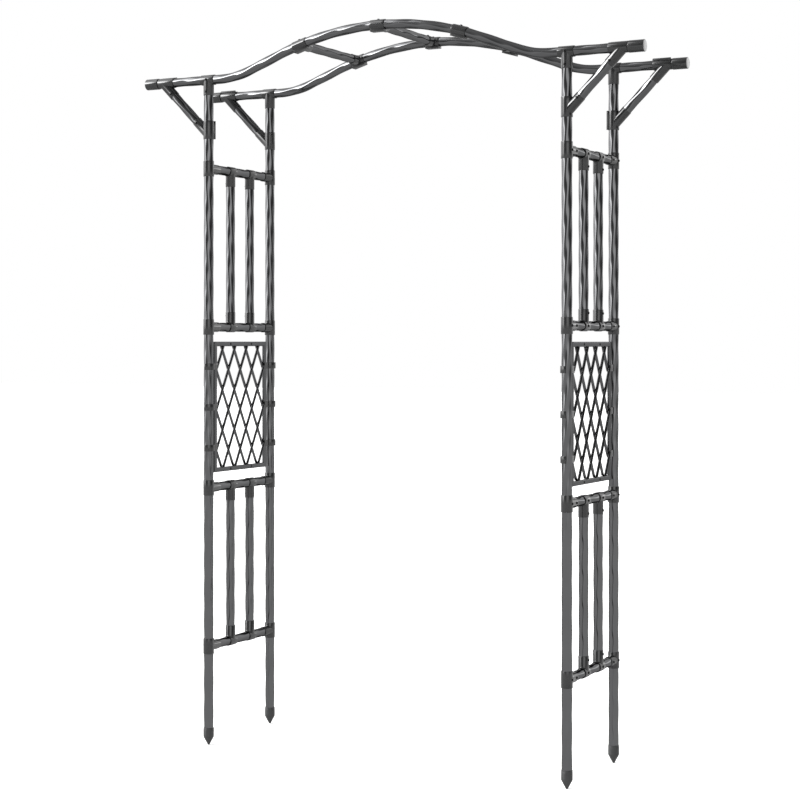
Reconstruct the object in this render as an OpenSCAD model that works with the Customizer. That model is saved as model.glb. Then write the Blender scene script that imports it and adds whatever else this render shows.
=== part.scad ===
// Garden trellis arch.
// Two side panels of round tube stand on four ground spikes and carry two
// humped beams.  Every tube ends in a moulded connector and is held by a screw.
// X is the width of the walkway, Y runs from front to back, Z is up, and the
// spike tips stand on Z = 0.

/* [Overall] */
// Height of the beam axis over the posts, above the spike tips
beam_z = 2250; // [2240:5:2400]
// Left to right distance between the post axes
span = 1310; // [1270:10:1600]
// Front to back distance between the post axes
depth = 390; // [390:5:500]
// How far each beam runs past the post axis, cap included
overhang = 252; // [252:2:320]

/* [Side panels] */
// Height of the lowest rail axis
low_rail_z = 334; // [300:2:350]
// Height of the bays that hold two uprights
open_bay_h = 536; // [500:2:540]
// Height of the middle bay that holds the lattice
lattice_bay_h = 544; // [520:2:550]
// Distance of each upright from the middle of the panel
upright_y = 61; // [50:1:75]

/* [Tubes] */
// Outside diameter of the posts
post_od = 33; // [31:0.5:33]
// Outside diameter of rails, uprights, braces, rungs and beams
tube_od = 31; // [29:0.5:31]
// Wall thickness of every tube
wall = 1.2; // [1:0.1:1.5]
// Length of the reduced end that plugs one post section into the next
spigot_len = 24; // [16:1:25]

/* [Beam hump] */
// Radius of the crest of the hump
crest_r = 1035; // [1000:5:1050]
// Radius of the hollow where the hump meets the straight ends
valley_r = 350; // [320:5:360]
// Sine of the steepest slope of the hump; both choices also have a short cosine
slope_sin = 0.352; // [0.28, 0.352]
// Length of the straight slope between crest and hollow
slope_len = 130; // [110:5:135]
// Distance of the outer rungs from the middle rung, along X
rung_x = 292; // [250:2:320]

/* [Braces] */
// Distance from the post axis to where the brace axis meets the beam axis
brace_run = 184; // [170:2:190]

/* [Connectors] */
// Wall thickness of the sleeves that run on a through tube
sleeve_wall = 1.7; // [1.6:0.1:2]
// Wall thickness of the sockets that take the end of a tube
socket_wall = 1.2; // [1:0.1:1.4]
// Radial clearance between a tube and its sleeve
fit_gap = 0.15; // [0.1:0.05:0.2]
// Half length of the sleeves on posts and beams
sleeve_half = 26; // [24:1:28]
// Half length of the upright sleeves on the rails
upright_sleeve_half = 20; // [18:1:24]
// Reach of every socket from the axis of the tube that it branches from
socket_reach = 52; // [48:1:54]
// Distance of the socket screw from the axis of the tube it branches from
socket_screw = 40; // [36:1:42]

/* [Lattice] */
// Width of the lattice frame over its stiles
lattice_w = 330; // [320:2:334]
// Face width of the lattice frame bars
bar_w = 16; // [14:1:18]
// Thickness of the lattice frame bars
bar_t = 10; // [9:1:12]
// Clear gap between the lattice frame and the rails above and below
lattice_gap = 34; // [28:1:40]
// Number of diamonds across the lattice
diamonds_y = 4; // [3:1:5]
// Number of diamonds up the lattice
diamonds_z = 3; // [2:1:4]
// Size of the six-sided lattice rods over their corners
rod_d = 9.5; // [7:0.5:10]
// Height of the clips that tie the lattice frame to the posts
clip_h = 22; // [18:1:26]

/* [Ground spikes] */
// Outside radius of the spike's cup
spike_r = 18; // [17.5:0.1:18.5]
// Height of the top of the spike's cup
spike_top = 58; // [55:1:65]
// Height at which the spike's taper begins
taper_z = 27; // [24:1:30]
// Radius of the blunt tip
tip_r = 3; // [2.5:0.5:4]

/* [Hidden] */

$fn = 48;
TUBE_COLOR = [0.36, 0.37, 0.38];
FITTING_COLOR = [0.22, 0.22, 0.23];
SCREW_COLOR = [0.06, 0.06, 0.06];
LEFT = -1;
RIGHT = 1;
FRONT = -1;
BACK = 1;
SIDES = [LEFT, RIGHT];
ENDS = [FRONT, BACK];
CUT = 1;

post_r = post_od / 2;
tube_r = tube_od / 2;
post_sleeve_r = post_r + fit_gap + sleeve_wall;
tube_sleeve_r = tube_r + fit_gap + sleeve_wall;
post_socket_r = post_r + fit_gap + socket_wall;
tube_socket_r = tube_r + fit_gap + socket_wall;
post_x = span / 2;
post_y = depth / 2;

// A tube that branches off stops short of the through tube, against a stop
end_gap = 2;
socket_stop = 1.4;

// Heights of the four rails and of the two bays that hold uprights
lower_rail_z = low_rail_z + open_bay_h;
upper_rail_z = lower_rail_z + lattice_bay_h;
top_rail_z = upper_rail_z + open_bay_h;
RAILS = [low_rail_z, lower_rail_z, upper_rail_z, top_rail_z];
LOWER_BAY = [low_rail_z, lower_rail_z];
UPPER_BAY = [upper_rail_z, top_rail_z];

// Post sections meet this far below a rail axis, so that the tee's screw pins both
seam_drop = 12;
cup_floor = 32;
spigot_r = post_r - wall - fit_gap;
post_top = beam_z - tube_r - end_gap;

// Hump of the beams: crest arc, straight slope, hollow arc, straight end
hump_slope = asin(slope_sin);
crest_half = crest_r * sin(hump_slope);
crest_drop = crest_r * (1 - cos(hump_slope));
slope_dx = slope_len * cos(hump_slope);
slope_dz = slope_len * sin(hump_slope);
flat_x = crest_half + slope_dx + valley_r * sin(hump_slope);
rise = crest_drop + slope_dz + valley_r * (1 - cos(hump_slope));
crest_z = beam_z + rise;
crest_centre_z = crest_z - crest_r;
beam_end = post_x + overhang;
arc_fn = 360;

// Closed caps on the beam ends
cap_wall = 2.5;
cap_len = 50;
cap_r = tube_r + 3;
cap_chamfer = 1;

// The two halves of a beam meet beside the middle rung, under its tee
seam_angle = seam_drop / crest_r * 180 / PI;
splice_angle = spigot_len / crest_r * 180 / PI;
neck_angle = 0.1;
rung_angle = asin(rung_x / crest_r);
RUNG_ANGLES = [-rung_angle, 0, rung_angle];
rung_sleeve_angle = sleeve_half / crest_r * 180 / PI;
rung_pad = [50, 25, 12];
rung_pad_drop = 22;

// Braces rise at 45 degrees.  The same connector sits on the post and the beam.
brace_low_z = beam_z - brace_run;
brace_axis_len = brace_run * sqrt(2);
brace_end = 40;
brace_reach = 66;
brace_screw = 56;
connector_tail = 16;
connector_nose = 46;
rib_w = 8;
rib_out = 23.5;
rib_angle = 40;

// Lattice frame between the two middle rails
lattice_z0 = lower_rail_z + tube_r + lattice_gap;
lattice_z1 = upper_rail_z - tube_r - lattice_gap;
lattice_mid_z = (lattice_z0 + lattice_z1) / 2;
pane_w = lattice_w - 2 * bar_w;
pane_h = lattice_z1 - lattice_z0 - 2 * bar_w;
bar_z = pane_h / 2 + bar_w / 2;
node_dy = pane_w / diamonds_y / 2;
node_dz = pane_h / diamonds_z / 2;
rod_sides = 6;
rod_r = rod_d / 2;
rod_flat = rod_r * cos(180 / rod_sides);
rod_long = 2 * (pane_w + pane_h);
last_rod = diamonds_y + diamonds_z - 1;
stile_y = lattice_w / 2 - bar_w / 2;
weld_gap = 0.1;
rivet_y = 66;
rivet_r = 2.5;
rivet_head_r = 4;
rivet_head_h = 1.8;

// Clips that tie the lattice frame to the posts, level with the rod ends
clip_wall = 2.2;
grip_wall = 4;
grip_lip = 4;
CLIP_ROWS = [for (i = [0:diamonds_z - 1]) (2 * i + 1 - diamonds_z) * node_dz];

// Pan-head screws
head_r = 4;
head_h = 2.6;
head_rim = 1.4;
shank_r = 2;
shank_len = 8;
hole_r = 2.15;

// ---------- helpers ----------

// Turns +Z towards a direction
module aim(dir) {
    rotate([0, acos(dir.z / norm(dir)), atan2(dir.y, dir.x)]) children();
}

module flip_x(on) {
    if (on) mirror([1, 0, 0]) children();
    else children();
}

module flip_y(on) {
    if (on) mirror([0, 1, 0]) children();
    else children();
}

// Round tube between two points
module tube_between(p, q, r) {
    length = norm(q - p);
    translate(p) aim(q - p) difference() {
        cylinder(h = length, r = r);
        translate([0, 0, -CUT]) cylinder(h = length + 2 * CUT, r = r - wall);
    }
}

// Curved stretch of beam crest, between two angles off the vertical
module crest_arc(from, to, r_out, r_in) {
    translate([0, 0, crest_centre_z]) rotate([90, 0, 0]) rotate([0, 0, 90 - to])
        rotate_extrude(angle = to - from, $fn = arc_fn) translate([crest_r, 0]) ring(r_out, r_in);
}

module ring(r_out, r_in) {
    difference() {
        circle(r = r_out);
        if (r_in > 0) circle(r = r_in);
    }
}

// A fastening is [point on the tube axis, outward direction, radius of the fitting]
module drill(fastenings) {
    for (f = fastenings) translate(f[0]) aim(f[1]) cylinder(h = f[2] + head_h, r = hole_r);
}

module screws(fastenings) {
    color(SCREW_COLOR) for (f = fastenings) translate(f[0]) aim(f[1]) translate([0, 0, f[2]])
        rotate_extrude() polygon([
            [0, -shank_len], [shank_r, -shank_len], [shank_r, 0], [head_r, 0],
            [head_r, head_rim], [head_r * 0.6, head_h], [0, head_h]
        ]);
}

// ---------- where the screws go ----------

function post_screws(side, end) = [
    for (z = RAILS) [[side * post_x, end * post_y, z], [side, 0, 0], post_sleeve_r]
];
function rail_end_screws(side, z) = [
    for (end = ENDS)
        [[side * post_x, end * (post_y - socket_screw), z], [side, 0, 0], tube_socket_r]
];
function rail_middle_screws(side, z) = [
    for (end = ENDS) [[side * post_x, end * upright_y, z], [side, 0, 0], tube_sleeve_r]
];
function upright_screws(side, end, bay) = [
    for (z = [bay[0] + socket_screw, bay[1] - socket_screw])
        [[side * post_x, end * upright_y, z], [side, 0, 0], tube_socket_r]
];
function beam_tee_screws(side, end) = [
    [[side * post_x, end * post_y, beam_z], [0, end, 0], post_socket_r],
    [[side * post_x, end * post_y, beam_z - socket_screw], [0, end, 0], post_socket_r]
];
function brace_screws(side, end) = [
    for (run = [brace_screw, brace_axis_len - brace_screw])
        [[side * (post_x + run * cos(45)), end * post_y, brace_low_z + run * sin(45)],
         [0, end, 0], tube_socket_r]
];
function on_crest(angle, y) = [
    crest_r * sin(angle), y, crest_centre_z + crest_r * cos(angle)
];
function rung_screws(angle, end) = [
    [on_crest(angle, end * post_y), [sin(angle), 0, cos(angle)], tube_sleeve_r],
    [on_crest(angle, end * (post_y - socket_screw)), [sin(angle), 0, cos(angle)], tube_socket_r]
];

// ---------- side panels ----------

module ground_spike(side, end) {
    color(FITTING_COLOR) translate([side * post_x, end * post_y, 0]) difference() {
        union() {
            cylinder(h = taper_z, r1 = tip_r, r2 = spike_r - 0.5);
            translate([0, 0, taper_z]) cylinder(h = spike_top - taper_z, r = spike_r);
        }
        translate([0, 0, cup_floor]) cylinder(h = spike_top, r = post_r + fit_gap);
    }
}

// One section of a post.  With a spigot, its upper end plugs into the next one.
module post_section(side, end, z0, z1, spigot) {
    bore_r = post_r - wall;
    plain = [[bore_r, z0], [post_r, z0], [post_r, z1], [bore_r, z1]];
    plugged = [
        [bore_r, z0], [post_r, z0], [post_r, z1], [spigot_r, z1],
        [spigot_r, z1 + spigot_len], [spigot_r - wall, z1 + spigot_len],
        [spigot_r - wall, z1 - spigot_len], [bore_r, z1 - spigot_len]
    ];
    color(TUBE_COLOR) difference() {
        translate([side * post_x, end * post_y, 0]) rotate_extrude()
            polygon(spigot ? plugged : plain);
        drill(post_screws(side, end));
        drill(beam_tee_screws(side, end));
    }
}

module post_lower(side, end) {
    post_section(side, end, cup_floor, lower_rail_z - seam_drop, true);
}

module post_middle(side, end) {
    post_section(side, end, lower_rail_z - seam_drop, upper_rail_z - seam_drop, true);
}

module post_upper(side, end) {
    post_section(side, end, upper_rail_z - seam_drop, post_top, false);
}

module rail(side, z) {
    half = post_y - post_r - end_gap;
    color(TUBE_COLOR) difference() {
        tube_between([side * post_x, -half, z], [side * post_x, half, z], tube_r);
        drill(rail_end_screws(side, z));
        drill(rail_middle_screws(side, z));
    }
}

module upright(side, end, bay) {
    gap = tube_r + end_gap;
    foot = [side * post_x, end * upright_y, bay[0] + gap];
    head = [side * post_x, end * upright_y, bay[1] - gap];
    color(TUBE_COLOR) difference() {
        tube_between(foot, head, tube_r);
        drill(upright_screws(side, end, bay));
    }
}

// Tee with its sleeve on the Z axis and its blind socket along +Y
module tee(main_r, half, branch_r) {
    bore_start = main_r + fit_gap + socket_stop;
    difference() {
        union() {
            translate([0, 0, -half]) cylinder(h = 2 * half, r = main_r + fit_gap + sleeve_wall);
            rotate([-90, 0, 0]) cylinder(h = socket_reach, r = branch_r + fit_gap + socket_wall);
        }
        translate([0, 0, -half - CUT]) cylinder(h = 2 * (half + CUT), r = main_r + fit_gap);
        rotate([-90, 0, 0]) translate([0, 0, bore_start])
            cylinder(h = socket_reach, r = branch_r + fit_gap);
    }
}

module post_tees(side) {
    color(FITTING_COLOR) for (end = ENDS, z = RAILS) difference() {
        translate([side * post_x, end * post_y, z]) flip_y(end == BACK)
            tee(post_r, sleeve_half, tube_r);
        drill(post_screws(side, end));
        drill(rail_end_screws(side, z));
    }
}

module upright_tees(side) {
    color(FITTING_COLOR) for (end = ENDS, bay = [LOWER_BAY, UPPER_BAY], i = [0, 1]) difference() {
        translate([side * post_x, end * upright_y, bay[i]]) rotate([i == 0 ? 90 : -90, 0, 0])
            tee(tube_r, upright_sleeve_half, tube_r);
        drill(rail_middle_screws(side, bay[i]));
        drill(upright_screws(side, end, bay));
    }
}

// ---------- lattice ----------

module lattice_frame(side) {
    color(TUBE_COLOR) translate([side * post_x, 0, lattice_mid_z]) {
        for (end = ENDS) translate([0, end * stile_y, 0])
            cube([bar_t, bar_w, pane_h + 2 * bar_w], center = true);
        for (z = [-bar_z, bar_z]) difference() {
            translate([0, 0, z]) cube([bar_t, pane_w - 2 * weld_gap, bar_w], center = true);
            for (y = [-rivet_y, rivet_y]) translate([-bar_t, y, z])
                aim([1, 0, 0]) cylinder(h = 2 * bar_t, r = rivet_r + weld_gap);
        }
    }
}

// Parallel rods across the pane, leaning one way; trimmed inside the frame
module rod_layer(lean) {
    intersection() {
        cube([5 * rod_r, pane_w - 2 * weld_gap, pane_h - 2 * weld_gap], center = true);
        for (i = [-last_rod:2:last_rod]) translate([lean * (rod_flat + weld_gap), i * node_dy, 0])
            aim([0, lean * node_dy, node_dz])
                cylinder(h = rod_long, r = rod_r, center = true, $fn = rod_sides);
    }
}

module lattice_rods(side) {
    color(TUBE_COLOR) translate([side * post_x, 0, lattice_mid_z]) {
        rod_layer(1);
        rod_layer(-1);
    }
}

// A clip grips the walkway side of the post and holds the stile of the lattice in its jaws
module lattice_clip() {
    reach = post_y - stile_y + bar_w / 2;
    jaw = bar_t / 2 + clip_wall;
    slot = bar_t / 2 + fit_gap;
    grip_r = post_r + fit_gap + grip_wall;
    difference() {
        union() {
            intersection() {
                cylinder(h = clip_h, r = grip_r, center = true);
                translate([-2 * grip_r + grip_lip, -grip_r - CUT, -clip_h])
                    cube([2 * grip_r, 2 * (grip_r + CUT), 2 * clip_h]);
            }
            translate([-jaw, 0, -clip_h / 2]) cube([2 * jaw, reach, clip_h]);
        }
        cylinder(h = clip_h + 2 * CUT, r = post_r + fit_gap, center = true);
        translate([-slot, reach - bar_w - fit_gap, -clip_h])
            cube([2 * slot, bar_w + CUT, 2 * clip_h]);
    }
}

module lattice_clips(side) {
    color(FITTING_COLOR) for (end = ENDS, row = CLIP_ROWS)
        translate([side * post_x, end * post_y, lattice_mid_z + row])
            flip_x(side == LEFT) flip_y(end == BACK) lattice_clip();
}

module lattice_rivets() {
    out = bar_t / 2;
    tip = out + rivet_head_h;
    color(SCREW_COLOR) for (side = SIDES, y = [-rivet_y, rivet_y], z = [-bar_z, bar_z])
        translate([side * post_x, y, lattice_mid_z + z]) aim([1, 0, 0]) rotate_extrude() polygon([
            [0, -tip], [rivet_head_r, -tip], [rivet_head_r, -out], [rivet_r, -out],
            [rivet_r, out], [rivet_head_r, out], [rivet_head_r, tip], [0, tip]
        ]);
}

// ---------- beams ----------

// Slope, hollow and straight end of the right half of a beam
module beam_shoulder() {
    slope_top = [crest_half, 0, crest_z - crest_drop];
    slope_foot = slope_top + [slope_dx, 0, -slope_dz];
    tube_between(slope_top, slope_foot, tube_r);
    translate([flat_x, 0, beam_z + valley_r]) rotate([90, 0, 0]) rotate([0, 0, -90 - hump_slope])
        rotate_extrude(angle = hump_slope, $fn = arc_fn) translate([valley_r, 0])
            ring(tube_r, tube_r - wall);
    tube_between([flat_x, 0, beam_z], [beam_end - cap_wall, 0, beam_z], tube_r);
}

// Reduced end of a left half, held in its tube by a neck inside the wall
module beam_spigot(seam) {
    plug_r = tube_r - wall - fit_gap;
    crest_arc(seam + neck_angle, seam + splice_angle, tube_r - wall / 2, plug_r - wall - fit_gap);
    crest_arc(seam - splice_angle, seam + splice_angle / 2, plug_r, plug_r - wall);
}

module beam_half(side, end) {
    seam = side == LEFT ? seam_angle : -seam_angle;
    color(TUBE_COLOR) difference() {
        translate([0, end * post_y, 0]) flip_x(side == LEFT) {
            crest_arc(seam, hump_slope, tube_r, tube_r - wall);
            beam_shoulder();
            if (side == LEFT) beam_spigot(seam);
        }
        drill(beam_tee_screws(side, end));
        for (angle = RUNG_ANGLES) drill(rung_screws(angle, end));
    }
}

module beam_tees() {
    color(FITTING_COLOR) for (side = SIDES, end = ENDS) difference() {
        translate([side * post_x, end * post_y, beam_z]) rotate([0, 0, 90]) rotate([-90, 0, 0])
            tee(tube_r, sleeve_half, post_r);
        drill(beam_tee_screws(side, end));
    }
}

module beam_caps() {
    bore_r = tube_r + fit_gap;
    color(FITTING_COLOR) for (side = SIDES, end = ENDS)
        translate([side * beam_end, end * post_y, beam_z]) aim([-side, 0, 0])
            rotate_extrude() polygon([
                [0, 0], [cap_r - cap_chamfer, 0], [cap_r, cap_chamfer], [cap_r, cap_len],
                [bore_r, cap_len], [bore_r, cap_wall], [0, cap_wall]
            ]);
}

module brace(side, end) {
    start = brace_end * cos(45);
    stop = brace_run - start;
    color(TUBE_COLOR) difference() {
        tube_between(
            [side * (post_x + start), end * post_y, brace_low_z + start],
            [side * (post_x + stop), end * post_y, brace_low_z + stop],
            tube_r
        );
        drill(brace_screws(side, end));
    }
}

// Sleeve on the Z axis, brace socket halfway between +X and +Z, and a
// stiffening rib on the far side of the sleeve, turned towards +Y
module brace_connector(main_r) {
    sleeve_r = main_r + fit_gap + sleeve_wall;
    length = connector_tail + connector_nose;
    difference() {
        union() {
            translate([0, 0, -connector_tail]) cylinder(h = length, r = sleeve_r);
            rotate([0, 45, 0]) cylinder(h = brace_reach, r = tube_socket_r);
            rotate([0, 0, 180 - rib_angle]) translate([main_r, -rib_w / 2, -connector_tail])
                cube([rib_out - main_r, rib_w, length]);
        }
        translate([0, 0, -connector_tail - CUT]) cylinder(h = length + 2 * CUT, r = main_r + fit_gap);
        rotate([0, 45, 0]) translate([0, 0, brace_end - CUT])
            cylinder(h = brace_reach, r = tube_r + fit_gap);
    }
}

module brace_connectors() {
    color(FITTING_COLOR) for (side = SIDES, end = ENDS) {
        difference() {
            translate([side * post_x, end * post_y, brace_low_z])
                flip_x(side == LEFT) flip_y(end == BACK) brace_connector(post_r);
            drill(brace_screws(side, end));
        }
        difference() {
            translate([side * (post_x + brace_run), end * post_y, beam_z])
                flip_x(side == RIGHT) flip_y(end == BACK) rotate([0, 90, 0])
                    brace_connector(tube_r);
            drill(brace_screws(side, end));
        }
    }
}

module rung(angle) {
    half = post_y - tube_r - end_gap;
    color(TUBE_COLOR) difference() {
        tube_between(on_crest(angle, -half), on_crest(angle, half), tube_r);
        for (end = ENDS) drill(rung_screws(angle, end));
    }
}

// Sleeve that follows the beam's crest, a socket for the rung and a pad below
module rung_tee(angle, end) {
    bore_start = tube_r + fit_gap + socket_stop;
    difference() {
        union() {
            translate([0, end * post_y, 0])
                crest_arc(angle - rung_sleeve_angle, angle + rung_sleeve_angle, tube_sleeve_r, 0);
            translate(on_crest(angle, end * post_y)) rotate([end * 90, 0, 0])
                cylinder(h = socket_reach, r = tube_socket_r);
            translate(on_crest(angle, end * post_y)) rotate([0, angle, 0])
                translate([-rung_pad.x / 2, -rung_pad.y / 2, -rung_pad_drop]) cube(rung_pad);
        }
        translate([0, end * post_y, 0])
            crest_arc(angle - 2 * rung_sleeve_angle, angle + 2 * rung_sleeve_angle,
                      tube_r + fit_gap, 0);
        translate(on_crest(angle, end * post_y)) rotate([end * 90, 0, 0])
            translate([0, 0, bore_start]) cylinder(h = socket_reach, r = tube_r + fit_gap);
        drill(rung_screws(angle, end));
    }
}

module rung_tees() {
    color(FITTING_COLOR) for (angle = RUNG_ANGLES, end = ENDS) rung_tee(angle, end);
}

module panel_screws() {
    for (side = SIDES, end = ENDS) {
        screws(post_screws(side, end));
        for (bay = [LOWER_BAY, UPPER_BAY]) screws(upright_screws(side, end, bay));
    }
    for (side = SIDES, z = RAILS) {
        screws(rail_end_screws(side, z));
        screws(rail_middle_screws(side, z));
    }
}

module arch_screws() {
    for (side = SIDES, end = ENDS) {
        screws(beam_tee_screws(side, end));
        screws(brace_screws(side, end));
    }
    for (angle = RUNG_ANGLES, end = ENDS) screws(rung_screws(angle, end));
}

ground_spike(LEFT, FRONT);  // ground_spike_front_left
ground_spike(RIGHT, FRONT);  // ground_spike_front_right
ground_spike(LEFT, BACK);  // ground_spike_back_left
ground_spike(RIGHT, BACK);  // ground_spike_back_right
post_lower(LEFT, FRONT);  // post_lower_front_left
post_lower(RIGHT, FRONT);  // post_lower_front_right
post_lower(LEFT, BACK);  // post_lower_back_left
post_lower(RIGHT, BACK);  // post_lower_back_right
post_middle(LEFT, FRONT);  // post_middle_front_left
post_middle(RIGHT, FRONT);  // post_middle_front_right
post_middle(LEFT, BACK);  // post_middle_back_left
post_middle(RIGHT, BACK);  // post_middle_back_right
post_upper(LEFT, FRONT);  // post_upper_front_left
post_upper(RIGHT, FRONT);  // post_upper_front_right
post_upper(LEFT, BACK);  // post_upper_back_left
post_upper(RIGHT, BACK);  // post_upper_back_right
rail(LEFT, low_rail_z);  // rail_bottom_left
rail(RIGHT, low_rail_z);  // rail_bottom_right
rail(LEFT, lower_rail_z);  // rail_lower_left
rail(RIGHT, lower_rail_z);  // rail_lower_right
rail(LEFT, upper_rail_z);  // rail_upper_left
rail(RIGHT, upper_rail_z);  // rail_upper_right
rail(LEFT, top_rail_z);  // rail_top_left
rail(RIGHT, top_rail_z);  // rail_top_right
upright(LEFT, FRONT, LOWER_BAY);  // upright_lower_front_left
upright(RIGHT, FRONT, LOWER_BAY);  // upright_lower_front_right
upright(LEFT, BACK, LOWER_BAY);  // upright_lower_back_left
upright(RIGHT, BACK, LOWER_BAY);  // upright_lower_back_right
upright(LEFT, FRONT, UPPER_BAY);  // upright_upper_front_left
upright(RIGHT, FRONT, UPPER_BAY);  // upright_upper_front_right
upright(LEFT, BACK, UPPER_BAY);  // upright_upper_back_left
upright(RIGHT, BACK, UPPER_BAY);  // upright_upper_back_right
lattice_frame(LEFT);  // lattice_frame_left
lattice_frame(RIGHT);  // lattice_frame_right
lattice_rods(LEFT);  // lattice_rods_left
lattice_rods(RIGHT);  // lattice_rods_right
lattice_clips(LEFT);  // lattice_clips_left
lattice_clips(RIGHT);  // lattice_clips_right
lattice_rivets();
post_tees(LEFT);  // post_tees_left
post_tees(RIGHT);  // post_tees_right
upright_tees(LEFT);  // upright_tees_left
upright_tees(RIGHT);  // upright_tees_right
beam_half(LEFT, FRONT);  // beam_front_left
beam_half(RIGHT, FRONT);  // beam_front_right
beam_half(LEFT, BACK);  // beam_back_left
beam_half(RIGHT, BACK);  // beam_back_right
beam_tees();
beam_caps();
brace(LEFT, FRONT);  // brace_front_left
brace(RIGHT, FRONT);  // brace_front_right
brace(LEFT, BACK);  // brace_back_left
brace(RIGHT, BACK);  // brace_back_right
brace_connectors();
rung(-rung_angle);  // rung_left
rung(0);  // rung_middle
rung(rung_angle);  // rung_right
rung_tees();
panel_screws();
arch_screws();
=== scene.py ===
"""Looks of the garden trellis arch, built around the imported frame.  Lengths are in metres.

Every CAD node is replaced by a finer piece in the same place: tubes with a shallow spiral
relief pressed into them, moulded connectors with rounded rims and screw seats, a welded lattice
of six-sided rods, and cross-head screws.
"""
import math

import bpy
from mathutils import Matrix, Vector


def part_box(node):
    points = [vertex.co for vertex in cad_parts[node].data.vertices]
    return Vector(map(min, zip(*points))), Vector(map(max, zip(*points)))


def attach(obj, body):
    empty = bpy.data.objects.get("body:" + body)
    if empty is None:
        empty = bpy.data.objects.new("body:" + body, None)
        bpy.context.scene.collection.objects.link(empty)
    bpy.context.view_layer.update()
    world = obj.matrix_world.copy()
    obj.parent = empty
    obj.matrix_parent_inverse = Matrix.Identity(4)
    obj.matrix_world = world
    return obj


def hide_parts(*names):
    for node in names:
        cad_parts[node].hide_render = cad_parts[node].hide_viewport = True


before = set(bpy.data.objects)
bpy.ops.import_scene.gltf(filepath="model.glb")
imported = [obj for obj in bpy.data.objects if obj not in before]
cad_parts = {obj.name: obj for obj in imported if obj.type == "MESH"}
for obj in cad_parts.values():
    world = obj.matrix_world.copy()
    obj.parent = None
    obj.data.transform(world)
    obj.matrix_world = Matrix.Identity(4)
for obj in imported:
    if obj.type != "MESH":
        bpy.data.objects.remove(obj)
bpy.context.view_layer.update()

SIDES = {"left": -1, "right": 1}
ENDS = {"front": -1, "back": 1}
CORNERS = [(side, end) for side in SIDES.values() for end in ENDS.values()]
RUNGS = ["left", "middle", "right"]
ORIGIN = Vector((0, 0, 0))
X = Vector((1, 0, 0))
Y = Vector((0, 1, 0))
Z = Vector((0, 0, 1))


# ---------- places and sizes, from the frame ----------

def middle(node):
    low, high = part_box(node)
    return (low + high) / 2


def half_width(node):
    low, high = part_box(node)
    return (high.x - low.x) / 2


POST_X = middle("post_middle_front_right").x
POST_Y = middle("post_middle_back_right").y
POST_R = half_width("post_middle_front_right")
TUBE_R = half_width("rail_top_right")
UPRIGHT_Y = middle("upright_upper_back_right").y
RAIL_NAMES = ["bottom", "lower", "upper", "top"]
RAIL_Z = [middle(f"rail_{name}_right").z for name in RAIL_NAMES]
BAYS = {"lower": (RAIL_Z[0], RAIL_Z[1]), "upper": (RAIL_Z[2], RAIL_Z[3])}
BEAM_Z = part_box("beam_front_right")[0].z + TUBE_R
CREST_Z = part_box("beam_front_right")[1].z - TUBE_R
BEAM_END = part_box("beam_caps")[1].x
BRACE_RUN = 2 * (middle("brace_front_right").x - POST_X)
LATTICE_Z = middle("lattice_frame_right").z

# Wall of the tubes, and the clearance and walls of the moulded connectors, with their outer radii
WALL = 0.0012
GAP = 0.00015
SLEEVE_WALL = 0.00167
SOCKET_WALL = 0.0012
POST_SLEEVE_R = POST_R + GAP + SLEEVE_WALL
TUBE_SLEEVE_R = TUBE_R + GAP + SLEEVE_WALL
POST_SOCKET_R = POST_R + GAP + SOCKET_WALL
TUBE_SOCKET_R = TUBE_R + GAP + SOCKET_WALL

# Tees: half the length of their sleeves, and the reach, screw and inner stop of their sockets
SLEEVE_HALF = 0.026
UPRIGHT_SLEEVE_HALF = 0.020
SOCKET_REACH = 0.052
SOCKET_SCREW = 0.040
SOCKET_STOP = 0.0014

# Rounding of the rims, size of the fillet where a socket meets its sleeve, and how far the socket
# starts inside the sleeve
RIM = 0.0009
FOOT = 0.0022
BITE = 0.0001

# Flat seats of the screw heads
SEAT_R = 0.0050
SEAT_DEPTH = 0.004
SEAT_RIM = 0.0003
SEAT_AROUND = 24

# Brace connectors: reach of the socket, its screw and the end of the brace, measured along the brace
# from the axis of its post or beam; the play beyond that end, both ends of the sleeve, and the rib
BRACE_REACH = 0.066
BRACE_SCREW = 0.056
BRACE_END = 0.040
BRACE_PLAY = 0.001
TAIL = 0.016
NOSE = 0.046
RIB_W = 0.008
RIB_OUT = 0.0235
RIB_ROUND = 0.0008
RIB_ANGLE = math.radians(40)

# Pads below the rung tees
PAD = Vector((0.050, 0.025, 0.012))
PAD_DROP = 0.022
PAD_ROUND = 0.0010

# Caps of the beams
CAP_LEN = 0.050
CAP_WALL = 0.0026
CAP_ROUND = 0.0016

# Ground spikes: blunt tip, taper and the small edge above it, floor of the cup, and the slightly
# thinner lip at its rim
TIP_R = 0.003
TAPER_TOP = 0.027
TAPER_EDGE_H = 0.0012
TAPER_EDGE_R = 0.0004
CUP_FLOOR = 0.032
LIP_FOOT = 0.006
LIP_LEN = 0.0055
LIP_STEP = 0.0003
SPIKE_ROUND = 0.0012

# Hump of the beams, followed from its middle: crest arc, straight slope, hollow arc
CREST_R = 1.035
VALLEY_R = 0.350
HUMP_SLOPE = math.asin(0.352)
SLOPE_LEN = 0.130

# Length of the reduced ends, and place of the beams' seam
SPLICE = 0.024
SEAM = 0.012

# Spiral relief of the tubes
RELIEF_DEPTH = 0.00050
RELIEF_STARTS = 4
RELIEF_RISE = 0.102
POST_TURN = math.radians(167)
UPRIGHT_TURN = math.radians(-95)

# Fineness of the meshes: step along a tube, steps inside a beam, steps round an axis, and the
# radius below which a ring is a single point
RING_STEP = 0.0085
BEAM_STEPS = 60
AROUND = 48
FINE_AROUND = 64
POLE_R = 1e-7

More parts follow.
